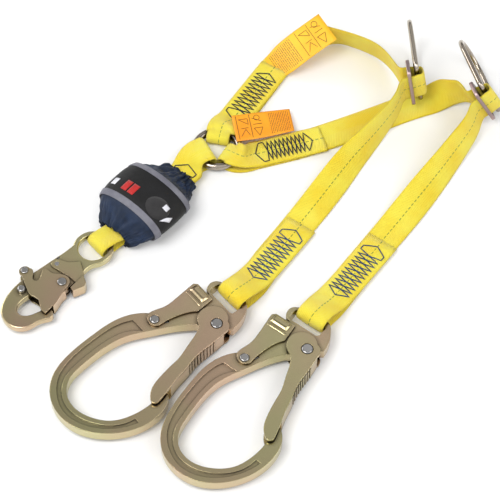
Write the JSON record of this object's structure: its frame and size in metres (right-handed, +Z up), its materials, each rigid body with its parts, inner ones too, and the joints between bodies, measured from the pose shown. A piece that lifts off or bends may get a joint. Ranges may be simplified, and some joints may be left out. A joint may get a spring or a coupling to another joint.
{
  "type": "shock_absorbing_lanyard",
  "caption": "Yellow webbing shock absorbing lanyard with small snap hook, navy absorber pack, round ring, D-rings with keepers and large rebar hooks, laid out flat",
  "frame": {"origin": "middle of the box around the lanyard as it lies, on the surface", "axes": "+Z up, +X to the right of the layout, +Y from the two big hooks towards the D-rings"},
  "size_m": [0.5195, 0.5634, 0.0676],
  "materials": {
    "yellow_webbing": "woven webbing",
    "hook_steel": "zinc plated, olive gold tint",
    "rivet_steel": "bright domed heads",
    "spring_steel": "wire",
    "ring_steel": "zinc plated, smooth",
    "keeper_steel": "dark plated",
    "tag_fabric": "printed orange tag",
    "navy_cover": "thin woven cover",
    "band_fabric": "black band",
    "grey_tape": "grey binding tape",
    "flap_fabric": "dark round patch"
  },
  "bodies": {
    "webbing": {"hook_end_loop": "yellow_webbing", "left_keeper": "keeper_steel", "left_leg_webbing": "yellow_webbing", "left_tag": "tag_fabric", "pack_backup_web": "yellow_webbing", "pack_band": "band_fabric", "pack_closing_flap": "flap_fabric", "pack_cover": "navy_cover", "pack_lower_tape": "grey_tape", "pack_tear_web": "yellow_webbing", "pack_upper_tape": "grey_tape", "right_keeper": "keeper_steel", "right_leg_webbing": "yellow_webbing", "right_tag": "tag_fabric", "ring_end_loop": "yellow_webbing"},
    "snap_hook": {"snap_hook_body": "hook_steel", "snap_hook_gate_rivet": "rivet_steel", "snap_hook_lock_rivet": "rivet_steel", "snap_hook_stop_bush": "rivet_steel", "snap_hook_stop_rivet": "rivet_steel", "snap_hook_gate_spring": "spring_steel", "snap_hook_lock_spring": "spring_steel"},
    "snap_hook_gate": {"snap_hook_gate": "hook_steel", "snap_hook_arm_rivet": "rivet_steel"},
    "snap_hook_lock": {"snap_hook_lock_lever": "hook_steel"},
    "round_ring": {"o_ring": "ring_steel"},
    "left_d_ring": {"left_d_ring": "ring_steel"},
    "right_d_ring": {"right_d_ring": "ring_steel"},
    "left_hook": {"left_hook_body": "hook_steel", "left_hook_gate_rivet": "rivet_steel", "left_hook_lever_rivet": "rivet_steel", "left_hook_gate_spring": "spring_steel", "left_hook_lever_spring": "spring_steel"},
    "left_hook_gate": {"left_hook_gate": "hook_steel"},
    "left_hook_lever": {"left_hook_lock_lever": "hook_steel"},
    "right_hook": {"right_hook_body": "hook_steel", "right_hook_gate_rivet": "rivet_steel", "right_hook_lever_rivet": "rivet_steel", "right_hook_gate_spring": "spring_steel", "right_hook_lever_spring": "spring_steel"},
    "right_hook_gate": {"right_hook_gate": "hook_steel"},
    "right_hook_lever": {"right_hook_lock_lever": "hook_steel"}
  },
  "joints": [
    {"name": "left_hook_swing", "type": "hinge", "parent": "webbing", "child": "left_hook", "pos_m": [-0.0263, -0.0691, 0.012], "axis": [-0.6361, 0.7716, 0], "range_deg": [0, 80]},
    {"name": "left_hook_gate_hinge", "type": "hinge", "parent": "left_hook", "child": "left_hook_gate", "pos_m": [-0.0438, -0.1084, 0.012], "axis": [0, 0, -1], "range_deg": [0, 40], "stiffness_Nm_per_rad": 0.15},
    {"name": "left_hook_lever_hinge", "type": "hinge", "parent": "left_hook", "child": "left_hook_lever", "pos_m": [-0.1056, -0.10245, 0.012], "axis": [0, 0, -1], "range_deg": [0, 8], "stiffness_Nm_per_rad": 0.2},
    {"name": "right_hook_swing", "type": "hinge", "parent": "webbing", "child": "right_hook", "pos_m": [0.05294, -0.0954, 0.012], "axis": [-0.7986, 0.6018, 0], "range_deg": [0, 80]},
    {"name": "right_hook_gate_hinge", "type": "hinge", "parent": "right_hook", "child": "right_hook_gate", "pos_m": [0.0451, -0.1377, 0.012], "axis": [0, 0, -1], "range_deg": [0, 40], "stiffness_Nm_per_rad": 0.15},
    {"name": "right_hook_lever_hinge", "type": "hinge", "parent": "right_hook", "child": "right_hook_lever", "pos_m": [-0.01638, -0.14634, 0.012], "axis": [0, 0, -1], "range_deg": [0, 8], "stiffness_Nm_per_rad": 0.2},
    {"name": "snap_hook_turn", "type": "hinge", "parent": "webbing", "child": "snap_hook", "pos_m": [-0.1712, -0.012, 0.0098], "axis": [0, 0, 1], "range_deg": [-60, 12]},
    {"name": "snap_hook_gate_hinge", "type": "hinge", "parent": "snap_hook", "child": "snap_hook_gate", "pos_m": [-0.20017, -0.05603, 0.0098], "axis": [0, 0, -1], "range_deg": [0, 30], "stiffness_Nm_per_rad": 0.08},
    {"name": "snap_hook_lock_hinge", "type": "hinge", "parent": "snap_hook", "child": "snap_hook_lock", "pos_m": [-0.2067, -0.0328, 0.0098], "axis": [0, 0, 1], "range_deg": [0, 8], "stiffness_Nm_per_rad": 0.08},
    {"name": "round_ring_turn", "type": "hinge", "parent": "webbing", "child": "round_ring", "pos_m": [-0.046, 0.119, 0.0071], "axis": [0, 0, 1], "continuous": true},
    {"name": "left_d_ring_hinge", "type": "hinge", "parent": "webbing", "child": "left_d_ring", "pos_m": [0.1691, 0.1837, 0.0379], "axis": [-0.1729, 0.022, 0.9847], "range_deg": [0, 12]},
    {"name": "right_d_ring_hinge", "type": "hinge", "parent": "webbing", "child": "right_d_ring", "pos_m": [0.2454, 0.1686, 0.0304], "axis": [-0.4611, -0.076, 0.8841], "range_deg": [-60, 4]}
  ]
}
